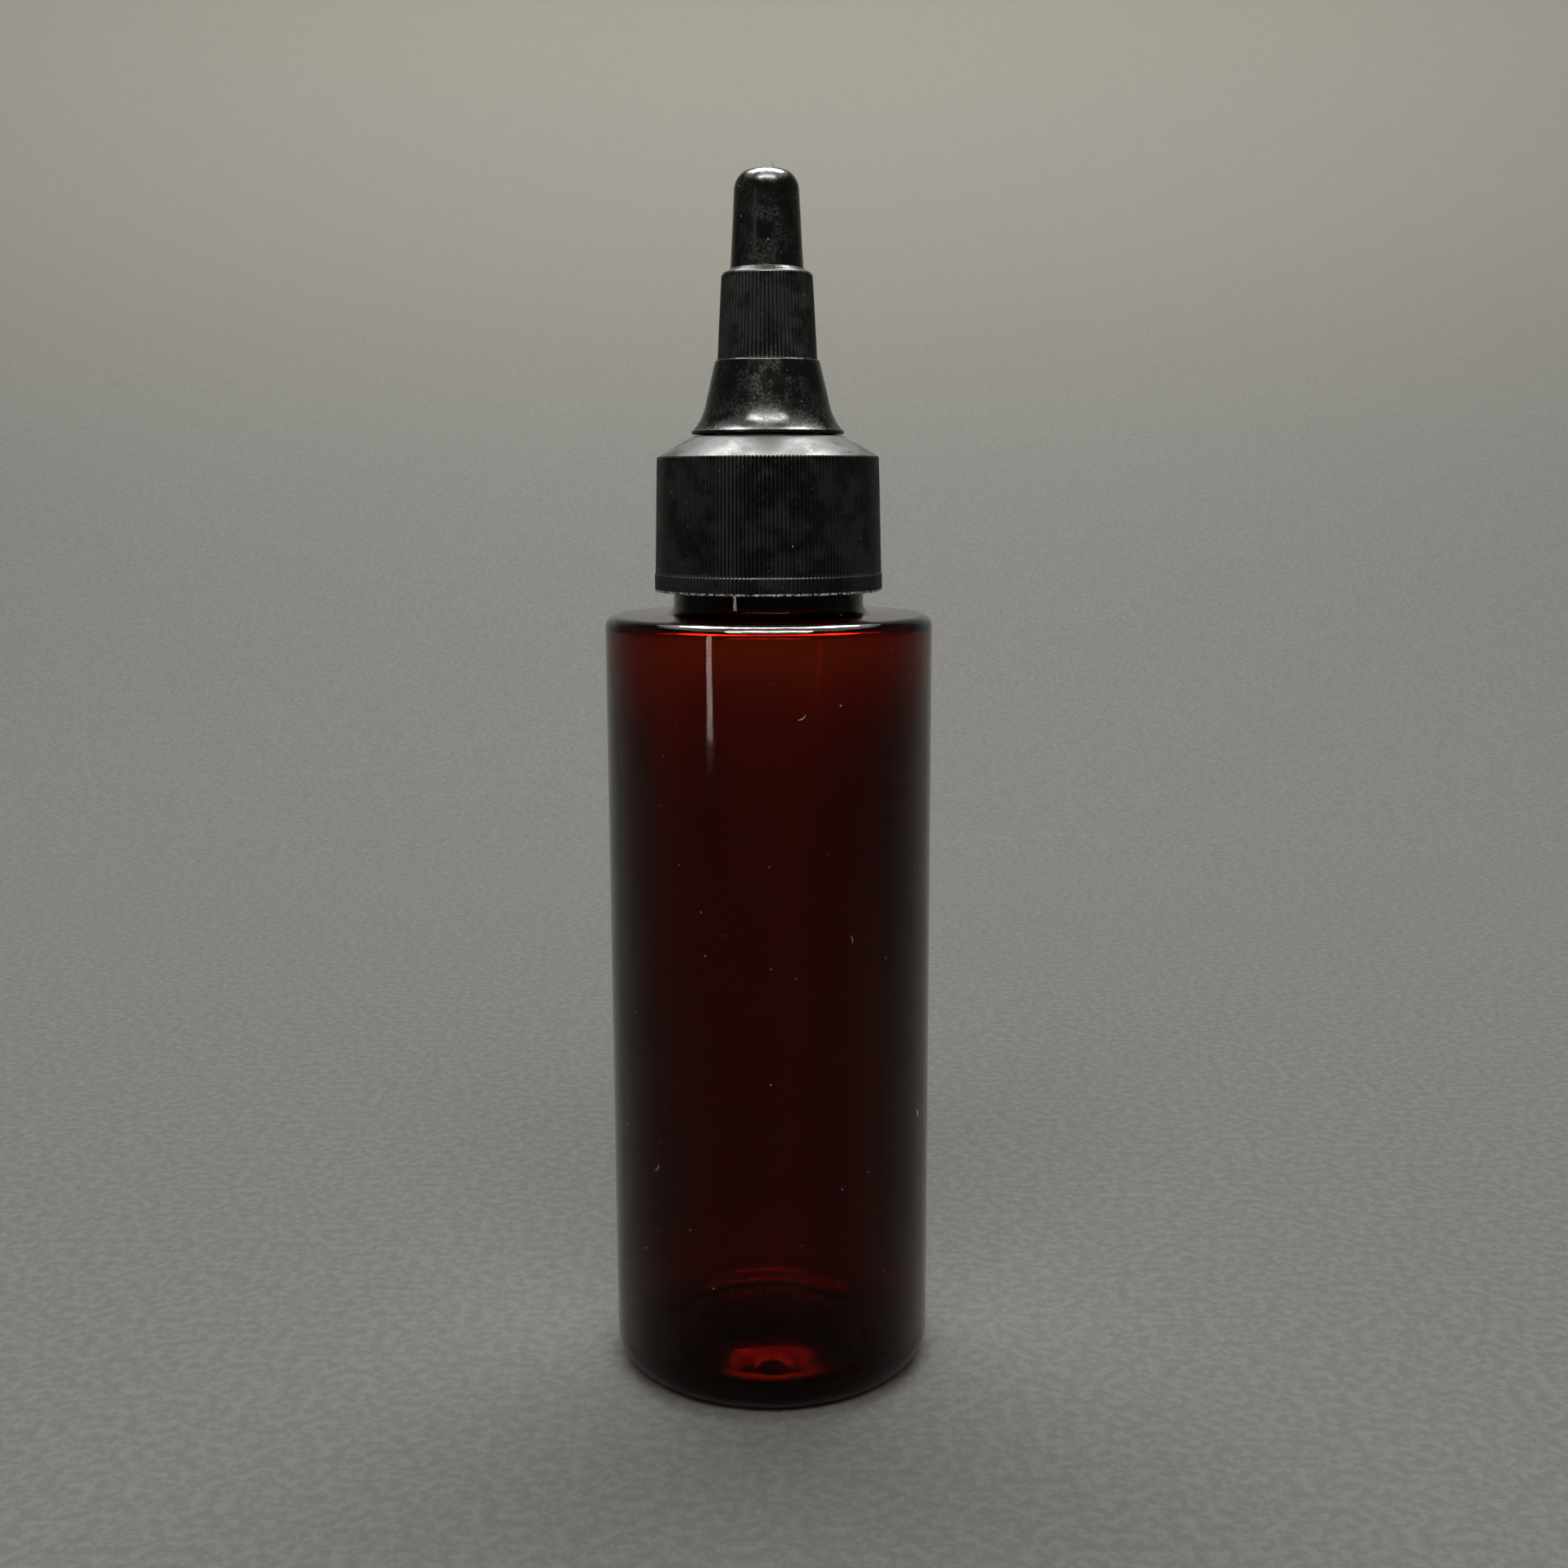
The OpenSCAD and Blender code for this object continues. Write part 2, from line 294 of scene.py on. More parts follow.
    @classmethod
    def finish(cls, piece: bpy.types.Object, crease_degrees: float = 32.0) -> bpy.types.Object:
        """Leave edit mode and shade the piece smooth up to a crease angle.

        Args:
            piece: The object.
            crease_degrees: Sharper corners than this stay sharp.

        Returns:
            The same object.
        """
        cls.choose(piece)
        bpy.ops.object.shade_smooth_by_angle(angle=math.radians(crease_degrees))
        cls.clear_selection()
        return piece

    @classmethod
    def join(cls, whole: bpy.types.Object, parts: Iterable[bpy.types.Object]) -> bpy.types.Object:
        """Join parts into one object.

        Args:
            whole: The object that takes the others in.
            parts: The objects that are taken in.

        Returns:
            The joined object.
        """
        cls.choose(whole)
        for part in parts:
            part.select_set(True)
        bpy.ops.object.join()
        return whole

    @classmethod
    def open(cls, piece: bpy.types.Object) -> None:
        """Select one piece alone and enter edit mode on it."""
        cls.choose(piece)
        bpy.ops.object.mode_set(mode="EDIT")
        bpy.ops.mesh.select_mode(type="VERT")

    @classmethod
    def apply(cls, piece: bpy.types.Object) -> None:
        """Apply all modifiers of a piece in order."""
        cls.choose(piece)
        for modifier in list(piece.modifiers):
            bpy.ops.object.modifier_apply(modifier=modifier.name)

    @classmethod
    def weld(cls, whole: bpy.types.Object, part: bpy.types.Object) -> bpy.types.Object:
        """Unite a closed part with a closed piece, so that no wall is left inside.

        Args:
            whole: The piece that grows.
            part: The part, which is used up.

        Returns:
            The grown piece.
        """
        union = whole.modifiers.new("union", "BOOLEAN")
        union.operation = "UNION"
        union.solver = "MANIFOLD"
        union.object = part
        cls.apply(whole)
        bpy.data.objects.remove(part, do_unlink=True)
        return whole

    @classmethod
    def lathe(cls, name: str, outline: Outline, steps: int) -> bpy.types.Object:
        """Turn a whole piece from its outline.

        Args:
            name: Name of the piece.
            outline: The outline, closed in itself or from the axis back to it.
            steps: Number of faces around.

        Returns:
            The piece, in object mode.
        """
        on_axis = outline.corners[0][0] == 0 and outline.corners[-1][0] == 0
        piece = cls.draw(name, outline.points(closed=not on_axis), closed=not on_axis)
        cls.turn(steps)
        cls.face_out()
        return cls.finish(piece)

    @classmethod
    def ribbed(cls, name: str, outline: Outline, ribs: int, columns: int,
               cuts: Sequence[tuple[float, float, float, float]]) -> bpy.types.Object:
        """Turn one rib's wedge from a closed outline, cut its grooves and copy it round.

        Args:
            name: Name of the piece.
            outline: The closed outline.
            ribs: Number of ribs around.
            columns: Even number of faces across one wedge.
            cuts: Depth, least radius, lowest and highest point of each groove, in millimetres.

        Returns:
            The piece, in object mode.
        """
        piece = cls.draw(name, outline.points(closed=True), closed=True)
        wedge = 360.0 / ribs
        cls.turn(columns, wedge)
        reach = max(radius for radius, _, _ in outline.corners)
        for depth, least, low, high in cuts:
            for column in range(2, columns - 1):
                share = 1.0 - abs(2.0 * column / columns - 1.0)
                angle = -math.radians(wedge * column / columns)
                cls.pick(piece, lambda co: abs(math.atan2(co.y, co.x) - angle) < cls.SAME_ANGLE
                         and math.hypot(co.x, co.y) > least * MM and low * MM < co.z < high * MM)
                kept = share if share > cls.FULL_DEPTH_FROM else cls.SLOPE_DEPTH * share
                cls.pull_in(1.0 - depth * kept / reach)
        bpy.ops.mesh.select_all(action="SELECT")
        cls.repeat_round(ribs)
        cls.face_out()
        return cls.finish(piece)

    @classmethod
    def strand(cls, name: str, foot: Vector, first: float, last: float,
               steps: Sequence[Vector]) -> bpy.types.Object:
        """Extrude a thin round strand step by step along a bent line, and round its skin.

        Args:
            name: Name of the strand.
            foot: Where it starts, in millimetres.
            first: Radius at its foot, in millimetres.
            last: Radius at its end, in millimetres.
            steps: The moves from ring to ring, in millimetres.

        Returns:
            The strand, in object mode.
        """
        cls.clear_selection()
        bpy.ops.mesh.primitive_circle_add(vertices=8, radius=first * MM, fill_type="NGON")
        strand = bpy.context.object
        strand.name = name
        bpy.ops.object.mode_set(mode="EDIT")
        bpy.ops.mesh.select_all(action="SELECT")
        aim = Vector((0, 0, 1)).rotation_difference(steps[0].normalized()).to_matrix().to_4x4()
        bpy.ops.object.mode_set(mode="OBJECT")
        strand.matrix_world = Matrix.Translation(foot * MM) @ aim
        bpy.ops.object.transform_apply(location=True, rotation=True, scale=True)
        bpy.ops.object.mode_set(mode="EDIT")
        shrink = (last / first) ** (1.0 / len(steps))
        here = foot.copy()
        for step in steps:
            bpy.ops.mesh.extrude_region_move(TRANSFORM_OT_translate={"value": step * MM})
            here = here + step
            bpy.ops.transform.resize(value=(shrink, shrink, shrink), center_override=here * MM)
        cls.face_out()
        return cls.finish(strand, 60.0)

    @classmethod
    def helix(cls, name: str, section: Outline, winding: Winding) -> bpy.types.Object:
        """Wind a closed section into a helical ridge whose ends sink away.

        Args:
            name: Name of the ridge.
            section: The section about height 0; its first corner lies on the root.
            winding: How the ridge winds.

        Returns:
            The ridge, in object mode.
        """
        ridge = cls.draw(name, section.points(closed=True), closed=True)
        bpy.ops.object.mode_set(mode="OBJECT")
        ring = len(ridge.data.vertices)
        screw = ridge.modifiers.new("winding", "SCREW")
        screw.axis = "Z"
        screw.angle = math.tau * winding.turns
        screw.screw_offset = winding.lead * winding.turns * MM
        screw.steps = screw.render_steps = round(cls.STEPS_IN_TURN * winding.turns)
        screw.use_merge_vertices = False
        cls.apply(ridge)
        cls.open(ridge)
        rows = len(ridge.data.vertices) // ring
        root, whole = section.corners[0][0] * MM, 360.0 * winding.turns
        for row in range(rows):
            angle = whole * row / (rows - 1)
            sink = min(1.0, angle / winding.fade, (whole - angle) / winding.fade)
            keep = cls.END_HEIGHT + (1.0 - cls.END_HEIGHT) * math.sin(max(0.0, sink) * math.pi / 2)
            cls.sink_ring(ridge, range(row * ring, (row + 1) * ring), root, keep)
        bpy.ops.mesh.select_all(action="DESELECT")
        bpy.ops.mesh.select_non_manifold()
        bpy.ops.mesh.fill_holes(sides=0)
        bpy.ops.mesh.select_all(action="SELECT")
        bpy.ops.transform.translate(value=(0, 0, winding.low * MM))
        cls.swing(winding.start)
        cls.face_out()
        return cls.finish(ridge)

    @staticmethod
    def sink_ring(ridge: bpy.types.Object, ring: Iterable[int], root: float, keep: float) -> None:
        """Sink one section of a ridge towards its root radius.

        Args:
            ridge: The ridge.
            ring: Indices of the section's vertices.
            root: Radius of the root, in metres.
            keep: Share of its height that the section keeps.
        """
        bpy.ops.object.mode_set(mode="OBJECT")
        for index in ring:
            vertex = ridge.data.vertices[index]
            radius = math.hypot(vertex.co.x, vertex.co.y)
            share = (root + (radius - root) * keep) / radius
            vertex.co.x *= share
            vertex.co.y *= share
        bpy.ops.object.mode_set(mode="EDIT")


# --- Shader expressions ---

Operand = Union["Signal", float]
Colour = tuple[float, float, float, float]


class Signal:
    """A node's output in a finish, on which Python's operators add Math nodes."""

    def __init__(self, recipe: "Recipe", socket: bpy.types.NodeSocket) -> None:
        """Keep the socket and the recipe that it belongs to."""
        self.recipe = recipe
        self.socket = socket

    def maths(self, operation: str, *operands: Operand) -> "Signal":
        """Add one Math node on this signal.

        Args:
            operation: The Math node's operation.
            *operands: All its inputs in order.

        Returns:
            The node's result.
        """
        inputs = {index: operand for index, operand in enumerate(operands)}
        return self.recipe.node("ShaderNodeMath", {"operation": operation}, inputs)

    def __add__(self, other: Operand) -> "Signal":
        """Sum of the signal and another operand."""
        return self.maths("ADD", self, other)

    def __radd__(self, other: Operand) -> "Signal":
        """Sum of an operand and the signal."""
        return self.maths("ADD", other, self)

    def __sub__(self, other: Operand) -> "Signal":
        """Difference of the signal and another operand."""
        return self.maths("SUBTRACT", self, other)

    def __rsub__(self, other: Operand) -> "Signal":
        """Difference of an operand and the signal."""
        return self.maths("SUBTRACT", other, self)

    def __mul__(self, other: Operand) -> "Signal":
        """Product of the signal and another operand."""
        return self.maths("MULTIPLY", self, other)

    def __rmul__(self, other: Operand) -> "Signal":
        """Product of an operand and the signal."""
        return self.maths("MULTIPLY", other, self)

    def ramp(self, low: float, high: float) -> "Signal":
        """Smooth step from 0 at low to 1 at high; low may be the larger one."""
        first, last = (low, high) if low < high else (high, low)
        rising = self.recipe.node("ShaderNodeMapRange", {"interpolation_type": "SMOOTHSTEP"},
                                  {"Value": self, "From Min": first, "From Max": last})
        return rising if low < high else 1 - rising


class Recipe:
    """A material under construction, with one method that adds any node."""

    def __init__(self, name: str) -> None:
        """Start an empty material.

        Args:
            name: The material's name.
        """
        self.material = bpy.data.materials.new(name)
        self.material.use_nodes = True
        self.tree = self.material.node_tree
        self.tree.nodes.clear()
        self.place = self.node("ShaderNodeTexCoord", output="Object")
        self.up = self.node("ShaderNodeSeparateXYZ", inputs={0: self.place}, output="Z")

    def node(self, kind: str, settings: dict[str, object] | None = None,
             inputs: dict[int | str, object] | None = None, output: int | str = 0) -> Signal:
        """Add a node.

        Args:
            kind: The node's type.
            settings: The node's own properties, set before its sockets.
            inputs: Values or signals for its sockets, by index or name.
            output: Index or name of the output that is returned.

        Returns:
            The chosen output.
        """
        made = self.tree.nodes.new(kind)
        for name, setting in (settings or {}).items():
            setattr(made, name, setting)
        for key, value in (inputs or {}).items():
            if isinstance(value, Signal):
                self.tree.links.new(value.socket, made.inputs[key])
            else:
                made.inputs[key].default_value = value
        return Signal(self, made.outputs[output])

    def stretched(self, across: float, deep: float, up: float) -> Signal:
        """Object coordinates scaled by axis: a pattern is drawn out where the scale is small."""
        return self.node("ShaderNodeMapping", {"vector_type": "POINT"},
                         {"Vector": self.place, "Scale": (across, deep, up)})

    def noise(self, size: float, detail: float = 3.0, rough: float = 0.55,
              place: Signal | None = None) -> Signal:
        """Soft noise from 0 to 1.

        Args:
            size: Size of its blotches, in millimetres.
            detail: Octaves of finer noise.
            rough: Weight of the finer noise.
            place: Coordinates other than the object's own.

        Returns:
            The noise.
        """
        return self.node("ShaderNodeTexNoise", {"normalize": True},
                         {"Vector": place or self.place, "Scale": 1 / (size * MM), "Detail": detail,
                          "Roughness": rough})

    def specks(self, spacing: float, size: float, kept: float) -> Signal:
        """Mask of small scattered specks.

        Args:
            spacing: Distance between neighbours, in millimetres.
            size: Radius of a speck, in millimetres.
            kept: Share of the specks that show.

        Returns:
            The mask, 1 on a speck.
        """
        cells = {"Vector": self.place, "Scale": 1 / (spacing * MM)}
        near = self.node("ShaderNodeTexVoronoi", {"feature": "F1"}, cells, "Distance")
        tint = self.node("ShaderNodeTexVoronoi", {"feature": "F1"}, cells, "Color")
        draw = self.node("ShaderNodeSeparateColor", inputs={0: tint})
        return near.ramp(size / spacing, 0.4 * size / spacing) * draw.maths("LESS_THAN", draw, kept)

    def blend(self, share: Operand, first: object, second: object) -> Signal:
        """Colour mixed from two colours by a share."""
        return self.node("ShaderNodeMix", {"data_type": "RGBA", "clamp_factor": True},
                         {"Factor": share, 6: first, 7: second}, 2)

    def surface(self, inputs: dict[int | str, object]) -> Signal:
        """Principled surface with the given values and signals on its sockets."""
        return self.node("ShaderNodeBsdfPrincipled", inputs=inputs)

    def relief(self, height: Signal, depth: float, under: Signal | None = None) -> Signal:
        """Bumped normal from a height.

        Args:
            height: The height, 0 to 1.
            depth: What a height of 1 stands for, in millimetres.
            under: A normal that this one is added to.

        Returns:
            The normal.
        """
        inputs: dict[int | str, object] = {"Height": height, "Distance": depth * MM, "Strength": 1.0}
        if under is not None:
            inputs["Normal"] = under
        return self.node("ShaderNodeBump", inputs=inputs)

    def finish(self, surface: Signal, volume: Signal | None = None) -> bpy.types.Material:
        """Connect the surface and any volume to the output and return the material."""
        output = self.tree.nodes.new("ShaderNodeOutputMaterial")
        self.tree.links.new(surface.socket, output.inputs["Surface"])
        if volume is not None:
            self.tree.links.new(volume.socket, output.inputs["Volume"])
        return self.material


# --- Finishes ---


@dataclass(frozen=True)
class AmberPet:
    """Clear deep amber PET, blown: glossy, slightly wavy, with a few smears of handling.

    Attributes:
        absorbed: Colour that a metre's absorption leaves, which sets the ratio between the colours.
        density: Absorption of a fully absorbed colour, per metre.
        bend: Index of refraction.
        gloss: Roughness of the clean surface.
        glow: Tint of its mirror, which stands for the light that comes back from inside the wall.
        clean: Tint of the light let through where the surface is clean.
        smeared: Tint of the light let through a smear.
        dust: Colour of the brightest motes on it.
        dull_dust: Colour of the darkest motes.
    """

    absorbed: Colour = (0.727, 0.31, 0.0, 1.0)
    density: float = 5400.0
    bend: float = 1.46
    gloss: float = 0.035
    glow: Colour = (0.46, 0.36, 0.33, 1.0)
    clean: Colour = (1.0, 0.98, 0.96, 1.0)
    smeared: Colour = (0.96, 0.92, 0.88, 1.0)
    dust: Colour = (0.68, 0.66, 0.60, 1.0)
    dull_dust: Colour = (0.42, 0.40, 0.36, 1.0)

    def material(self) -> bpy.types.Material:
        """Build the material."""
        recipe = Recipe("amber_pet")
        smears = recipe.noise(7.0, 4.0, 0.6, recipe.stretched(1.0, 1.0, 0.35)).ramp(0.52, 0.72)
        grime = recipe.specks(2.6, 0.12, 0.5)
        streaks = recipe.noise(3.2, 2.0, 0.45, recipe.stretched(1.0, 1.0, 0.12))
        ripple = recipe.noise(11.0, 1.0, 0.4)
        wavy = recipe.relief(streaks, 0.010, recipe.relief(ripple, 0.05))
        body = recipe.surface({
            "Base Color": recipe.blend(smears, self.clean, self.smeared),
            "Roughness": self.gloss + 0.05 * smears,
            "IOR": self.bend, "Transmission Weight": 1.0, "Specular Tint": self.glow, "Normal": wavy})
        mote = recipe.surface({
            "Base Color": recipe.blend(recipe.noise(0.1), self.dust, self.dull_dust), "Roughness": 0.8})
        dusty = recipe.node("ShaderNodeMixShader", inputs={0: grime, 1: body, 2: mote})
        inside = recipe.node("ShaderNodeVolumeAbsorption",
                             inputs={"Color": self.absorbed, "Density": self.density})
        return recipe.finish(dusty, inside)


@dataclass(frozen=True)
class BlackPolypropylene:
    """Moulded black polypropylene: glossy where the mould is polished, duller elsewhere, dusty in places.

    Attributes:
        name: Name of the material.
        zones: Lowest height, highest height and roughness of each duller zone, in millimetres.
        flash: Height of a thin pale flash on the lower edge, in millimetres, if the piece has one.
        wisp: Height above which the plastic is a thin pale wisp, in millimetres, if the piece has one.
        tint: Colour of the clean plastic.
        worn: Colour of its handled patches.
        polished: Roughness of the polished parts.
        sheen: Strength of its mirror, where 0.5 is plain.
        mirror: Tint of its mirror.
        dust: Colour of the specks of dust on it.
        torn_edge: Colour of the flash.
        thin_wisp: Colour of the wisp.
    """

    name: str
    zones: tuple[tuple[float, float, float], ...]
    flash: float | None = None
    wisp: float | None = None
    tint: Colour = (0.0046, 0.0045, 0.0036, 1.0)
    worn: Colour = (0.019, 0.019, 0.0155, 1.0)
    polished: float = 0.17
    sheen: float = 0.13
    mirror: Colour = (1.0, 0.99, 0.92, 1.0)
    dust: Colour = (0.62, 0.60, 0.54, 1.0)
    torn_edge: Colour = (0.80, 0.78, 0.72, 1.0)
    thin_wisp: Colour = (0.45, 0.43, 0.39, 1.0)

    def material(self) -> bpy.types.Material:
        """Build the material."""
        recipe = Recipe(self.name)
        smudge = recipe.noise(3.4, 5.0, 0.65).ramp(0.42, 0.58)
        mottle = recipe.noise(0.30, 3.0, 0.75).ramp(0.40, 0.64)
        dust = recipe.specks(1.9, 0.11, 0.5) + recipe.specks(0.7, 0.05, 0.35)
        rough = self.polished + 0.05 * smudge + 0.26 * smudge * mottle + 0.3 * dust
        haze = 0.8 * smudge * mottle
        for low, high, roughness in self.zones:
            zone = recipe.up.ramp((low - 0.05) * MM, (low + 0.05) * MM)
            zone = zone * recipe.up.ramp((high + 0.05) * MM, (high - 0.05) * MM)
            rough = rough + (roughness - self.polished) * zone - 0.16 * zone * mottle
            haze = haze - 0.8 * haze * zone
        skin = recipe.blend(haze, self.tint, self.worn)
        if self.flash is not None:
            torn = recipe.noise(0.45, 3.0, 0.7).ramp(0.42, 0.56)
            edge = recipe.up.ramp((self.flash + 0.26) * MM, (self.flash + 0.12) * MM) * torn
            skin = recipe.blend(edge, skin, self.torn_edge)
        if self.wisp is not None:
            thin = recipe.up.ramp(self.wisp * MM, (self.wisp + 0.25) * MM)
            skin = recipe.blend(thin, skin, self.thin_wisp)
        grain = recipe.relief(recipe.noise(0.16, 2.0, 0.6), 0.009)
        body = recipe.surface({
            "Base Color": recipe.blend(dust, skin, self.dust),
            "Roughness": rough, "IOR": 1.49, "Specular IOR Level": self.sheen,
            "Specular Tint": self.mirror,
            "Normal": recipe.relief(recipe.noise(1.6, 2.0, 0.5), 0.012, grain)})
        return recipe.finish(body)


@dataclass(frozen=True)
class WhiteFoam:
    """White closed-cell foam of the liner, with fine open cells on its cut faces and painted shade in the low
    edges between them.

    Attributes:
        tint: Colour of the foam.
        shade: Darker colour painted along the low edges between its cells, a painted shade.
    """

    tint: Colour = (0.78, 0.775, 0.75, 1.0)
    shade: Colour = (0.60, 0.59, 0.56, 1.0)

    def material(self) -> bpy.types.Material:
        """Build the material."""
        recipe = Recipe("white_foam")
        cells = recipe.node("ShaderNodeTexVoronoi", {"feature": "DISTANCE_TO_EDGE"},
                            {"Vector": recipe.place, "Scale": 1 / (0.28 * MM)}, "Distance").ramp(0.0, 0.22)
        pressed = recipe.noise(3.0, 3.0, 0.6).ramp(0.45, 0.7)
        # Painted shade: the low edges between the cells, where the bump sinks, take the darker shade colour.
        body = recipe.surface({
            "Base Color": recipe.blend(0.5 * cells + 0.3 * pressed, self.shade, self.tint),
            "Roughness": 0.92 - 0.18 * pressed, "Normal": recipe.relief(cells, 0.05)})
        return recipe.finish(body)


@dataclass(frozen=True)
class PaleFibre:
    """Pale lint that has settled on the bottle.

    Attributes:
        dull: Colour of its darker lengths.
        bright: Colour of its brighter lengths.
    """

    dull: Colour = (0.50, 0.47, 0.43, 1.0)
    bright: Colour = (0.72, 0.70, 0.66, 1.0)

    def material(self) -> bpy.types.Material:
        """Build the material."""
        recipe = Recipe("pale_fibre")
        body = recipe.surface({
            "Base Color": recipe.blend(recipe.noise(0.2), self.dull, self.bright),
            "Roughness": 0.6 + 0.3 * recipe.noise(0.1)})
        return recipe.finish(body)


@dataclass(frozen=True)
class PalePaper:
    """Pale grey paper of the floor and the backdrop, with a fine mottled tooth; the backdrop is painted paler
    than the floor, a painted light.

    Attributes:
        tint: Main colour on the floor.
        fleck: Colour of its darker flecks there.
        lit_backdrop: Colour of the backdrop, painted paler than the floor's as painted light where the sweep
            is lit more.
    """

    tint: Colour = (0.25, 0.247, 0.229, 1.0)
    fleck: Colour = (0.205, 0.203, 0.189, 1.0)
    lit_backdrop: Colour = (0.44, 0.424, 0.368, 1.0)

    def material(self) -> bpy.types.Material:
        """Build the material."""
        recipe = Recipe("pale_paper")
        flecks = recipe.noise(1.6, 4.0, 0.7).ramp(0.4, 0.62)
        # Painted light: the paper turns from the floor's colour to the paler backdrop colour over its first
        # half metre of height, in soft uneven blotches.
        painted_rise = recipe.up.ramp(0.0, 0.5) * (0.92 + 0.16 * recipe.noise(9.0, 3.0, 0.6))
        body = recipe.surface({
            "Base Color": recipe.blend(painted_rise, recipe.blend(flecks, self.fleck, self.tint), self.lit_backdrop),
            "Roughness": 0.9, "Specular IOR Level": 0.0,
            "Normal": recipe.relief(recipe.noise(0.7, 3.0, 0.7), 0.05)})
        return recipe.finish(body)


# --- Pieces ---


class Piece:
    """What every finished piece of the object shares: its name, its place in the frame and its finish."""

    name: str
    body: Body
    slot: Slot
    stands_for: tuple[str, ...]

    def place(self, mesh: bpy.types.Object, material: bpy.types.Material) -> bpy.types.Object:
        """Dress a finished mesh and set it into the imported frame.

        Args:
            mesh: The mesh, at the origin.
            material: Its finish.

        Returns:
            The same mesh.
        """
        mesh.data.materials.clear()
        mesh.data.materials.append(material)
        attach(mesh, self.body.value)
        if self.stands_for:
            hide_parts(*self.stands_for)
        triangles = sum(len(face.vertices) - 2 for face in mesh.data.polygons)
        LOG.info("%s: %d triangles, rides on %s", mesh.name, triangles, self.body.value)
        return mesh


def cosine_arc(centre: tuple[float, float], size: tuple[float, float],
               angles: tuple[float, float]) -> Callable[[float], tuple[float, float]]:
    """Part of an ellipse as a curve.

    Args:
        centre: Radius and height of its centre.
        size: Its half width and half height.
        angles: Its first and last angle, in degrees.

    Returns:
        The curve, for a share from 0 to 1.
    """
    def at(share: float) -> tuple[float, float]:
        angle = math.radians(angles[0] + (angles[1] - angles[0]) * share)
        return centre[0] + size[0] * math.cos(angle), centre[1] + size[1] * math.sin(angle)
    return at


@dataclass
class BottleShell(Piece):
    """The blown amber bottle: pushed-up base, straight body, flat shoulder and threaded neck.

    Attributes:
        body_radius: Radius of the straight body.
        shoulder: Height of the shoulder where it meets the neck.
        lip: Height of the neck's lip.
        neck_radius: Radius of the neck under its thread.
        bore_radius: Radius of the neck's bore.
        wall: Wall of the lower body.
        thin_wall: Wall just under the shoulder, where the plastic is stretched most.
        foot_radius: Inner radius of the ring that the bottle stands on.
        push_up: Height of the middle of the base, outside.
        uneven: Greatest swelling on the inside of the blown wall.
        base_radius: Radius inside which the wall is left even, as it is the base's.
        even_below: Height under which the wall is left even.
        even_above: Height over which the wall is left even.
        thread_low: Height of the neck thread's lower end.
        steps: Faces around.
    """

    body_radius: float = 19.4
    shoulder: float = 92.6
    lip: float = 109.3
    neck_radius: float = 10.75
    bore_radius: float = 8.9
    wall: float = 0.8
    thin_wall: float = 0.52
    foot_radius: float = 11.9
    push_up: float = 2.7
    uneven: float = 0.5
    base_radius: float = 15.0
    even_below: float = 5.0
    even_above: float = 88.0
    thread_low: float = 102.2375
    steps: int = 240
    name: str = "bottle_shell"
    body: Body = Body.BOTTLE
    slot: Slot = Slot.AMBER
    stands_for: tuple[str, ...] = ("bottle",)

    def _dome(self, rise: float, floor: float, first: float) -> Callable[[float], tuple[float, float]]:
        """Curve of the pushed-up base, from a first radius out to the foot."""
        def at(share: float) -> tuple[float, float]:
            radius = first + (self.foot_radius - first) * share
            return radius, floor + (rise - floor) * (1 - share ** 2.4)
        return at

    def outline(self) -> Outline:
        """Outline from the middle of the base up the outside, over the lip and down the inside."""
        radius, collar = self.body_radius, self.neck_radius + 0.5
        line = Outline()
        line.to(0, 2.1).to(0.5, 2.1).to(1.1, 2.1, 0.15).to(1.5, self.push_up, 0.2)
        line.along(self._dome(self.push_up, 0.0, 2.2), 14)
        line.to(radius, 0, 3.6)
        line.along(lambda share: (radius, 8.0 + (self.shoulder - 11.0) * share), 30)
        line.to(radius, self.shoulder - 0.06, 1.4).to(collar, self.shoulder + 0.02, 1.3)
        line.to(collar, self.shoulder + 3.8, 0.2).to(self.neck_radius, self.shoulder + 4.3, 0.2)
        line.to(self.neck_radius, self.shoulder + 5.2, 0.1).to(11.7, self.shoulder + 5.6, 0.2)
        line.to(11.7, self.shoulder + 6.2, 0.2).to(self.neck_radius, self.shoulder + 6.6, 0.1)
        line.to(self.neck_radius, self.lip, 0.4).to(self.bore_radius, self.lip, 0.15)
        line.to(self.bore_radius, self.shoulder - 0.8, 1.3)
        line.to(radius - self.thin_wall, self.shoulder - 1.0, 0.9)
        line.along(self._inner_wall, 30)
        line.to(radius - self.wall, 1.2, 3.2)
        line.along(lambda share: self._dome(4.4, 1.2, 0.0)(1 - share), 14)
        return line

    def _inner_wall(self, share: float) -> tuple[float, float]:
        """Inside of the straight body, from under the shoulder down to the foot."""
        top = self.shoulder - 4.0
        height = top + (8.5 - top) * share
        thick = min(1.0, max(0.0, (top - height) / 22.0))
        wall = self.thin_wall + (self.wall - self.thin_wall) * (thick * thick * (3 - 2 * thick))
        return self.body_radius - wall, height

    def build(self) -> bpy.types.Object:
        """Turn the shell, vary its wall, weld the thread on and dress it.

        Returns:
            The finished piece.
        """
        shell = Bench.lathe(self.name, self.outline(), self.steps)
        self._vary_wall(shell)
        section = Outline().to(self.neck_radius - 0.3, -1.0).to(11.9, -0.45, 0.2).to(11.9, 0.45, 0.2)
        section.to(self.neck_radius - 0.3, 1.0)
        thread = Bench.helix("neck_thread", section, Winding(self.thread_low, NECK_LEAD, 1.5, 15.0))
        Bench.finish(Bench.weld(shell, thread), 35.0)
        return self.place(shell, AmberPet().material())

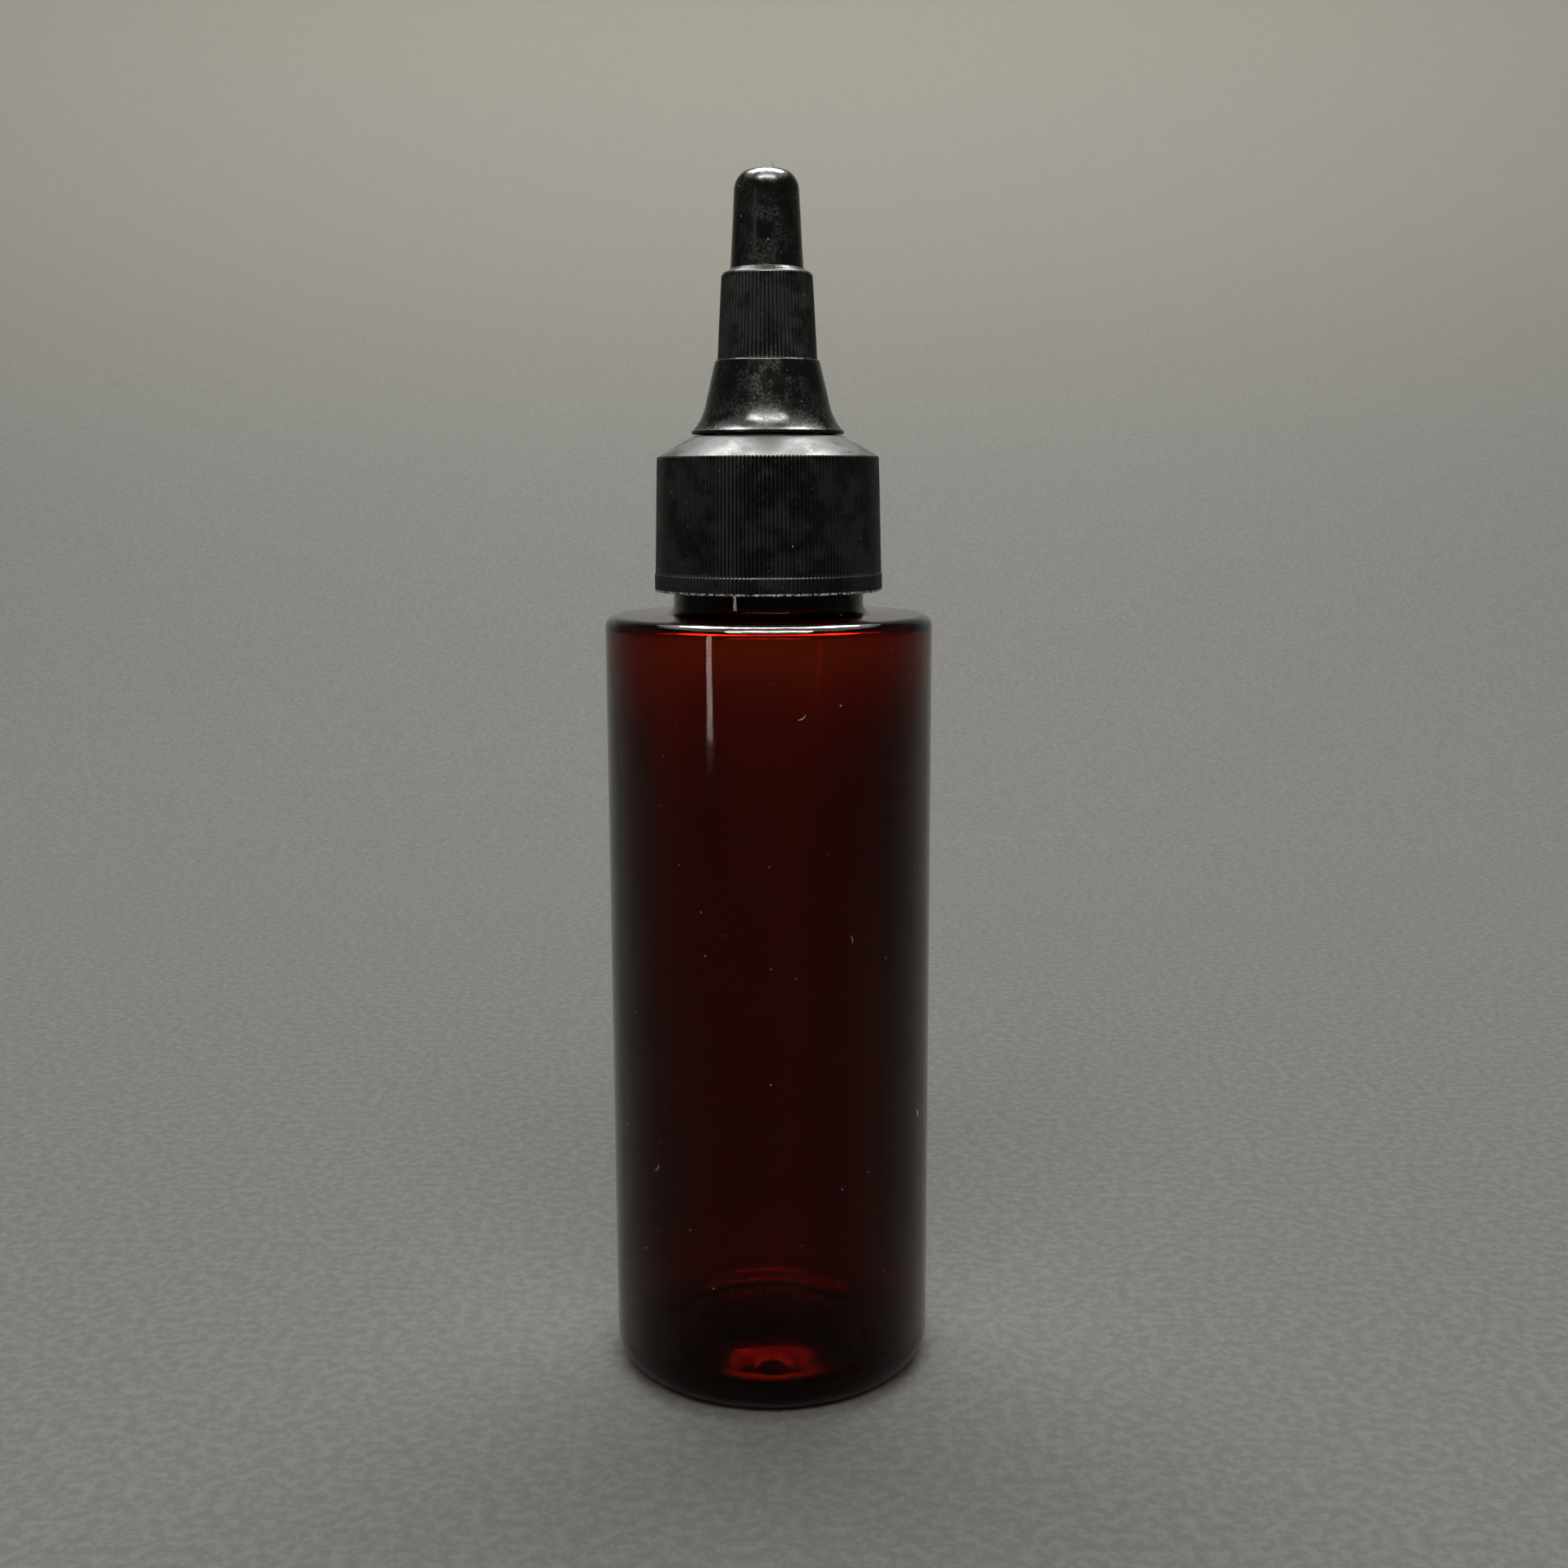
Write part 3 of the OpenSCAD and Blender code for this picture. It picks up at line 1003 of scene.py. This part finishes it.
    def _vary_wall(self, shell: bpy.types.Object) -> None:
        """Push the inside of the body in and out a little, as a blown wall is never even."""
        inside = shell.vertex_groups.new(name="inside")
        limit = (self.body_radius - 0.2) * MM
        for vertex in shell.data.vertices:
            radius, height = math.hypot(vertex.co.x, vertex.co.y), vertex.co.z / MM
            if self.base_radius * MM < radius < limit and self.even_below < height < self.even_above:
                swell = self._swell(math.atan2(vertex.co.y, vertex.co.x), height)
                inside.add([vertex.index], swell, "REPLACE")
        bulge = shell.modifiers.new("uneven_wall", "DISPLACE")
        bulge.vertex_group = inside.name
        bulge.strength = self.uneven * MM
        bulge.mid_level = 0.0
        Bench.apply(shell)

    def _swell(self, angle: float, height: float) -> float:
        """Share of the greatest swelling at one place inside the wall: soft columns that drift with height.

        Args:
            angle: Angle round the axis, in radians.
            height: Height in millimetres.

        Returns:
            The share, 0 to 1, which fades out towards the foot and the shoulder.
        """
        columns = (0.34 * math.cos(3 * angle + 1.2 + height / 60)
                   + 0.28 * math.cos(5 * angle - 0.6 - height / 34)
                   + 0.22 * math.cos(11 * angle + height / 45) + 0.16 * math.cos(height / 11 + 2 * angle))
        ends = min(1.0, (height - self.even_below) / 10, (self.even_above - height) / 10)
        return ends * (0.5 + 0.5 * columns)


@dataclass
class ScrewCap(Piece):
    """The black screw cap in one moulding: ribbed skirt, deck, spout, spider and sealing pin.

    Attributes:
        ribs: Grooves around the skirt.
        rib_depth: Depth of a groove.
        bore_radius: Inner radius of the skirt.
        low: Height of the skirt's lower edge.
        deck_edge: Height where the skirt meets the deck.
        deck_top: Height of the deck under the nozzle's rim.
        roof: Height of the cap's inner roof.
        post_top: Height of the spout's thicker foot.
        spout_top: Height of the spout.
        pin_foot: Height of the foot of the sealing pin and of its arms.
        pin_top: Height of the sealing pin.
        thread_low: Height of the skirt thread's lower end.
        spout_thread_low: Height of the spout threads' lower ends.
    """

    ribs: int = 180
    rib_depth: float = 0.17
    bore_radius: float = 12.15
    low: float = 95.4
    deck_edge: float = 110.9
    deck_top: float = 113.31
    roof: float = 110.1
    post_top: float = 120.91
    spout_top: float = 130.41
    pin_foot: float = 124.41
    pin_top: float = 143.31
    thread_low: float = 100.65
    spout_thread_low: float = 114.71
    name: str = "cap_shell"
    body: Body = Body.CAP
    slot: Slot = Slot.BLACK
    stands_for: tuple[str, ...] = ("cap_base",)

    def outline(self) -> Outline:
        """Outline once round the moulding's wall, from the skirt's lower edge."""
        band = self.low + 2.0
        line = Outline(fineness=15.0)
        line.to(self.bore_radius, self.low, 0.1).to(13.45, self.low, 0.14).to(13.45, band - 0.1, 0.05)
        line.to(13.36, band, 0.03).to(13.35, band + 0.26).to(13.35, band + 0.30)
        line.to(13.27, 101.0).to(13.19, 104.5).to(13.10, 108.0).to(13.03, self.deck_edge - 0.42)
        line.to(13.02, self.deck_edge - 0.02, 0.34).to(11.6, 111.71).to(10.1, 112.58)
        line.to(8.72, self.deck_top, 0.4).to(4.2, self.deck_top, 0.3).to(4.2, self.post_top - 0.6, 0.1)
        line.to(3.4, self.post_top, 0.1).to(3.4, self.spout_top - 2.2).to(3.575, self.spout_top - 1.9, 0.05)
        line.to(3.575, self.spout_top - 1.1, 0.05).to(3.4, self.spout_top - 0.8)
        line.to(3.4, self.spout_top, 0.3).to(2.4, self.spout_top, 0.15)
        underside = self.deck_top - 1.2
        line.to(2.4, underside, 0.3).to(7.32, underside, 0.4).to(9.3, self.roof, 0.3)
        line.to(self.bore_radius, self.roof, 0.35)
        line.to(self.bore_radius, 106.0).to(self.bore_radius, 101.0)
        return line

    def build(self) -> bpy.types.Object:
        """Rib the skirt, weld the threads, the pin and its arms on and dress the cap.

        Returns:
            The finished piece.
        """
        cuts = ((self.rib_depth, 12.7, self.low + 2.02, self.deck_edge + 0.02),
                (0.45 * self.rib_depth, 13.4, self.low + 0.1, self.low + 1.97))
        cap = Bench.ribbed(self.name, self.outline(), self.ribs, 4, cuts)
        self._fray(cap)
        for thread in self._threads():
            Bench.weld(cap, thread)
        pin = Bench.lathe("pin", self._pin_outline(), 64)
        for index in range(3):
            Bench.weld(pin, self._arm(90.0 + 120.0 * index))
        Bench.weld(cap, pin)
        Bench.weld(cap, self._wisp())
        Bench.finish(cap, 40.0)
        zones = ((self.low - 0.3, self.deck_edge - 0.3, 0.40),
                 (self.deck_edge - 0.2, self.deck_top + 0.1, 0.46))
        plastic = BlackPolypropylene("black_cap", zones, self.low, self.pin_top + 0.1)
        return self.place(cap, plastic.material())

    def _fray(self, cap: bpy.types.Object) -> None:
        """Leave the thin uneven flash of the mould's parting edge around the skirt's lower rim."""
        Bench.open(cap)
        Bench.pick(cap, lambda co: co.z < (self.low + 0.02) * MM and math.hypot(co.x, co.y) > 13.2 * MM)
        bpy.ops.transform.vertex_random(offset=0.085 * MM, uniform=1.0, normal=0.0, seed=7)
        Bench.clear_selection()

    def _threads(self) -> list[bpy.types.Object]:
        """The skirt's inner thread and the spout's two outer ones."""
        inner = Outline().to(self.bore_radius + 0.3, -0.75).to(self.bore_radius + 0.3, 0.75)
        inner.to(11.0, 0.35, 0.15).to(11.0, -0.35, 0.15)
        outer = Outline().to(3.9, -0.65).to(4.85, -0.3, 0.12).to(4.85, 0.3, 0.12).to(3.9, 0.65)
        return [Bench.helix("skirt_thread", inner, Winding(self.thread_low, NECK_LEAD, 1.5, 15.0)),
                Bench.helix("spout_thread_a", outer, Winding(self.spout_thread_low, SPOUT_LEAD, 0.75, 0.0)),
                Bench.helix("spout_thread_b", outer, Winding(self.spout_thread_low, SPOUT_LEAD, 0.75, 180.0))]

    def _pin_outline(self) -> Outline:
        """Outline of the sealing pin: a slim shank, a wider head and a small gate mark on it."""
        line = Outline().to(0, self.pin_foot).to(1.125, self.pin_foot, 0.3)
        line.to(1.125, 139.71, 0.3).to(1.575, 140.61, 0.3).to(1.575, self.pin_top, 0.14)
        line.to(0.55, self.pin_top, 0.05).to(0.42, self.pin_top + 0.10, 0.05)
        return line.to(0, self.pin_top + 0.08)

    def _arm(self, degrees: float) -> bpy.types.Object:
        """One of the three arms that hold the pin in the spout."""
        low, high = self.pin_foot, self.spout_top - 0.4
        Bench.clear_selection()
        bpy.ops.mesh.primitive_cube_add(size=1, location=(1.45 * MM, 0, (low + high) / 2 * MM),
                                        scale=(2.5 * MM, 0.8 * MM, (high - low) * MM))
        arm = bpy.context.object
        arm.name = "arm"
        bpy.ops.object.transform_apply(location=True, rotation=True, scale=True)
        bpy.ops.object.mode_set(mode="EDIT")
        bpy.ops.mesh.select_all(action="SELECT")
        bpy.ops.mesh.bevel(offset=0.12 * MM, segments=2, affect="EDGES")
        bpy.ops.mesh.select_all(action="SELECT")
        Bench.swing(degrees)
        return Bench.finish(arm)

    def _wisp(self) -> bpy.types.Object:
        """The thin curl of plastic that the mould's gate left on the pin's head."""
        return Bench.strand("wisp", Vector((0.72, 0.0, self.pin_top - 0.1)), 0.13, 0.035,
                            [Vector((0.10, -0.02, 0.22)), Vector((0.0, 0.0, 0.22)),
                             Vector((-0.07, 0.02, 0.24)), Vector((-0.14, 0.02, 0.26)),
                             Vector((-0.17, 0.0, 0.22))])


@dataclass
class TwistNozzle(Piece):
    """The black twist-open nozzle: flared foot, ribbed grip, smooth domed tip and two inner threads.

    Attributes:
        ribs: Grooves around the grip.
        rib_depth: Depth of a groove.
        rim: Height of the flare's lower edge.
        rim_radius: Radius of the flare's lower edge.
        grip_low: Height of the grip's lower edge.
        grip_low_radius: Radius of the grip's lower edge.
        grip_top: Height of the grip's upper edge.
        grip_top_radius: Radius of the grip's upper edge.
        tip_top: Height of the tip.
        tip_radius: Radius of the tip where its dome starts.
        orifice: Radius of the orifice.
        thread_low: Height of the sleeve threads' lower ends.
    """

    ribs: int = 72
    rib_depth: float = 0.22
    rim: float = 113.51
    rim_radius: float = 8.92
    grip_low: float = 121.91
    grip_low_radius: float = 5.82
    grip_top: float = 131.41
    grip_top_radius: float = 5.29
    tip_top: float = 143.31
    tip_radius: float = 3.755
    orifice: float = 1.6
    thread_low: float = 114.41
    name: str = "nozzle_shell"
    body: Body = Body.NOZZLE
    slot: Slot = Slot.BLACK
    stands_for: tuple[str, ...] = ("nozzle", "nozzle_mouth")

    def _flare(self, share: float) -> tuple[float, float]:
        """Sweep of the flare from its turn out to its rim."""
        turn_radius, turn_height = self.grip_low_radius + 1.30, self.grip_low - 4.4
        radius = turn_radius + (self.rim_radius - turn_radius) * (0.5 * share + 0.5 * share ** 2)
        return radius, turn_height + (self.rim + 0.35 - turn_height) * (1.35 * share - 0.35 * share ** 2)

    def outline(self) -> Outline:
        """Outline once round the moulding's wall, from the orifice down the outside and up the inside."""
        line = Outline(fineness=12.0)
        dome = cosine_arc((self.tip_radius - 2.05, self.tip_top - 2.4), (2.05, 2.4), (88.0, 0.0))
        line.to(self.orifice, self.tip_top - 0.12).to(self.orifice + 0.08, self.tip_top)
        line.along(dome, 12)
        line.to(3.99, 136.6).to(4.09, 134.7).to(4.24, 132.31, 0.05)
        upper = cosine_arc((4.42, self.grip_top - 0.1), (self.grip_top_radius - 4.41, 0.72), (84.0, 6.0))
        line.along(upper, 8)
        line.to(self.grip_top_radius + 0.02, self.grip_top - 0.42).to(self.grip_top_radius + 0.17, 128.6)
        line.to(self.grip_top_radius + 0.34, 125.3).to(self.grip_low_radius - 0.015, self.grip_low + 0.14)
        line.to(self.grip_low_radius, self.grip_low + 0.08)
        lower = cosine_arc((self.grip_low_radius + 0.06, self.grip_low - 0.22), (0.26, 0.26), (84.0, 6.0))
        line.along(lower, 7)
        line.along(self._flare, 16)
        line.to(self.rim_radius, self.rim, 0.12).to(self.rim_radius - 0.9, self.rim, 0.2)
        line.to(7.05, 115.41, 0.6).to(6.35, 117.31, 0.25).to(6.1, 117.31, 0.1)
        line.to(6.0, self.rim - 0.15, 0.15).to(5.1, self.rim - 0.15, 0.1)
        line.to(5.1, 121.7, 0.3).to(3.6, 123.11, 0.2).to(3.6, self.grip_top, 0.2)
        line.to(2.755, 132.61, 0.2).to(2.755, 140.4, 0.4).to(2.1, 140.4, 0.2).to(self.orifice, 140.95, 0.15)
        return line

    def build(self) -> bpy.types.Object:
        """Rib the grip, weld the inner threads on and dress the nozzle.

        Returns:
            The finished piece.
        """
        cuts = ((self.rib_depth, 5.0, self.grip_low + 0.10, self.grip_top),)
        nozzle = Bench.ribbed(self.name, self.outline(), self.ribs, 6, cuts)
        section = Outline().to(5.4, -0.65).to(5.4, 0.65).to(4.35, 0.3, 0.12).to(4.35, -0.3, 0.12)
        for phase in (72.0, 252.0):
            winding = Winding(self.thread_low, SPOUT_LEAD, 0.5, phase)
            Bench.weld(nozzle, Bench.helix("sleeve_thread", section, winding))
        Bench.finish(nozzle, 40.0)
        zones = ((self.grip_low + 0.12, self.grip_top - 0.15, 0.38),
                 (self.grip_top - 0.1, self.grip_top + 0.9, 0.33))
        plastic = BlackPolypropylene("black_nozzle", zones, tint=(0.0085, 0.0084, 0.0068, 1.0),
                                     worn=(0.022, 0.022, 0.018, 1.0))
        return self.place(nozzle, plastic.material())


@dataclass
class LinerWasher(Piece):
    """The foam washer that the cap presses on the bottle's lip.

    Attributes:
        inner: Radius of its hole.
        outer: Its outer radius.
        low: Height of its lower face.
        thick: Its thickness.
    """

    inner: float = 6.5
    outer: float = 11.8
    low: float = 109.3
    thick: float = 0.8
    name: str = "liner_washer"
    body: Body = Body.LINER
    slot: Slot = Slot.FOAM
    stands_for: tuple[str, ...] = ("liner",)

    def build(self) -> bpy.types.Object:
        """Turn the washer with rounded edges and the ring that the lip has pressed, and dress it.

        Returns:
            The finished piece.
        """
        line = Outline(fineness=18.0)
        line.to(self.inner, self.low, 0.15).to(8.7, self.low, 0.1).to(8.9, self.low + 0.05, 0.1)
        line.to(10.4, self.low + 0.05, 0.1).to(10.6, self.low, 0.1).to(self.outer, self.low, 0.2)
        line.to(self.outer, self.low + self.thick, 0.2).to(self.inner, self.low + self.thick, 0.15)
        washer = Bench.lathe(self.name, line, 160)
        return self.place(washer, WhiteFoam().material())


@dataclass
class Lint:
    """A few pale fibres that cling to the body, modelled once and copied.

    Attributes:
        spots: Angle in degrees, height in millimetres and turn in degrees of each fibre.
        radius: Radius of the wall that they lie on.
        thickness: Radius of a fibre.
    """

    spots: tuple[tuple[float, float, float], ...] = (
        (-61.0, 56.5, 70.0), (-134.0, 28.5, 15.0), (-25.0, 33.0, 75.0), (-80.0, 82.2, 0.0),
        (35.0, 61.0, 40.0), (110.0, 44.0, 120.0), (170.0, 70.0, 10.0))
    radius: float = 19.4
    thickness: float = 0.035

    def build(self) -> bpy.types.Object:
        """Model one fibre, copy it to each spot and join the copies.

        Returns:
            The joined fibres.
        """
        first = Bench.strand("lint", Vector((0, 0, 0)), self.thickness, self.thickness,
                             [Vector((0.25, 0.05, 0.0)), Vector((0.25, 0.10, 0.0)), Vector((0.18, 0.20, 0.0)),
                              Vector((0.08, 0.25, 0.0))])
        fibres = [first]
        for _ in self.spots[1:]:
            Bench.choose(first)
            bpy.ops.object.duplicate(linked=False)
            fibres.append(bpy.context.object)
        for fibre, (angle, height, turn) in zip(fibres, self.spots):
            self._lay(fibre, math.radians(angle), height, math.radians(turn))
        lint = Bench.finish(Bench.join(first, fibres[1:]), 60.0)
        lint.name = lint.data.name = "lint"
        lint.data.materials.append(PaleFibre().material())
        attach(lint, Body.BOTTLE.value)
        LOG.info("%s: %d fibres", lint.name, len(fibres))
        return lint

    def _lay(self, fibre: bpy.types.Object, angle: float, height: float, turn: float) -> None:
        """Stand one fibre against the wall at its spot and apply its place."""
        out = Vector((math.cos(angle), math.sin(angle), 0))
        along = Vector((-out.y, out.x, 0)) * math.cos(turn) + Vector((0, 0, 1)) * math.sin(turn)
        across = out.cross(along)
        reach = self.radius + 0.6 * self.thickness
        spot = Matrix.Translation((out * reach + Vector((0, 0, height))) * MM)
        fibre.matrix_world = spot @ Matrix((along, across, out)).transposed().to_4x4()
        Bench.choose(fibre)
        bpy.ops.object.transform_apply(location=True, rotation=True, scale=True)


# --- Studio ---


@dataclass(frozen=True)
class SoftLamp:
    """One rectangular soft lamp.

    Attributes:
        name: Its name.
        place: Its centre, in metres.
        target: The point that it faces, in metres.
        size: Its width and height, in metres.
        radiance: How bright its face looks, where 1 is a lit white sheet.
        for_gloss: Whether it shows only in reflections, as a small bright card does.
    """

    name: str
    place: tuple[float, float, float]
    target: tuple[float, float, float]
    size: tuple[float, float]
    radiance: float
    for_gloss: bool = False

    def build(self) -> bpy.types.Object:
        """Add the lamp, hidden from the camera.

        Returns:
            The lamp.
        """
        Bench.clear_selection()
        bpy.ops.object.light_add(type="AREA", location=self.place)
        lamp = bpy.context.object
        lamp.name = lamp.data.name = self.name
        lamp.data.shape = "RECTANGLE"
        lamp.data.size, lamp.data.size_y = self.size
        lamp.data.energy = 4.0 * self.radiance * self.size[0] * self.size[1]
        lamp.data.color = (1.0, 1.0, 1.0)
        facing = Vector(self.target) - Vector(self.place)
        lamp.rotation_euler = facing.to_track_quat("-Z", "Y").to_euler()
        lamp.visible_camera = False
        if self.for_gloss:
            lamp.visible_diffuse = False
        return lamp


@dataclass
class Studio:
    """Pale paper floor that sweeps up into a backdrop, soft lamps, a dim room and the camera.

    Attributes:
        eye: Place of the camera, in metres.
        tilt: Downward tilt of the camera, in degrees.
        roll: Turn of the camera about its view, in degrees.
        lens: Focal length for a 36 mm wide sensor, in millimetres.
        room: Brightness of the room all round.
    """

    eye: tuple[float, float, float] = (0.00175, -0.2185, 0.1077)
    tilt: float = 9.28
    roll: float = -0.21
    lens: float = 42.07
    room: float = 0.09

    def set_camera(self) -> None:
        """Add the camera and make it the scene's own."""
        data = bpy.data.cameras.new("camera")
        camera = bpy.data.objects.new("camera", data)
        bpy.context.scene.collection.objects.link(camera)
        data.lens, data.sensor_width, data.sensor_fit = self.lens, 36.0, "HORIZONTAL"
        data.clip_start, data.clip_end = 0.01, 20.0
        camera.location = self.eye
        pitch = Matrix.Rotation(math.radians(90 - self.tilt), 3, "X")
        camera.rotation_euler = (pitch @ Matrix.Rotation(math.radians(self.roll), 3, "Z")).to_euler()
        bpy.context.scene.camera = camera

    def lay_paper(self) -> None:
        """Sweep a strip of paper from the floor up behind the object."""
        half, front, flat, radius, top, steps = 2.4, -2.8, 0.30, 1.2, 2.4, 24
        line = [Vector((-half, front, 0.0)), Vector((-half, flat, 0.0))]
        for step in range(1, steps + 1):
            angle = math.radians(90.0 / steps * step)
            line.append(Vector((-half, flat + radius * math.sin(angle), radius * (1 - math.cos(angle)))))
        line.append(Vector((-half, flat + radius, top)))
        paper = Bench.draw("paper_sweep", line, closed=False)
        bpy.ops.mesh.extrude_region_move(TRANSFORM_OT_translate={"value": Vector((2 * half, 0, 0))})
        Bench.face_out()
        Bench.finish(paper, 60.0)
        paper.data.materials.append(PalePaper().material())

    def light(self) -> None:
        """Hang the lamps and set the room's own dim light."""
        lamps = (
            SoftLamp("front_softbox", (0.0, -0.85, 1.05), (0, 0, 0.08), (1.1, 0.36), 4.5),
            SoftLamp("rear_softbox", (0.0, 0.50, 1.0), (0, 0, 0.09), (1.1, 0.36), 4.0),
            SoftLamp("backdrop_lamp", (0.0, 0.45, 1.5), (0, 1.6, 0.6), (1.6, 0.4), 5.0),
            SoftLamp("front_card", (0.0, -0.36, 0.74), (0, 0, 0.10), (0.62, 0.14), 100.0, True),
            SoftLamp("rear_card", (0.0, 0.24, 0.76), (0, 0, 0.10), (0.62, 0.28), 60.0, True),
            SoftLamp("ceiling", (0.0, -0.02, 0.95), (0, 0, 0.10), (1.5, 0.9), 2.5, True),
            SoftLamp("side_strip", (-0.321, -0.383, 0.13), (0, 0, 0.09), (0.034, 0.24), 8.0, True),
        )
        for lamp in lamps:
            lamp.build()
        world = bpy.data.worlds.new("room")
        bpy.context.scene.world = world
        world.use_nodes = True
        background = world.node_tree.nodes["Background"]
        background.inputs["Color"].default_value = (1.0, 0.99, 0.97, 1.0)
        background.inputs["Strength"].default_value = self.room
        bpy.context.scene.view_settings.view_transform = "Standard"


def main() -> None:
    """Build the studio and each piece in order."""
    logging.basicConfig(level=logging.INFO, format="%(name)s: %(message)s")
    studio = Studio()
    studio.set_camera()
    studio.lay_paper()
    studio.light()
    for maker in (BottleShell(), ScrewCap(), TwistNozzle(), LinerWasher(), Lint()):
        made = maker.build()
        LOG.info("made %s", made.name)


if __name__ == "__main__":
    main()
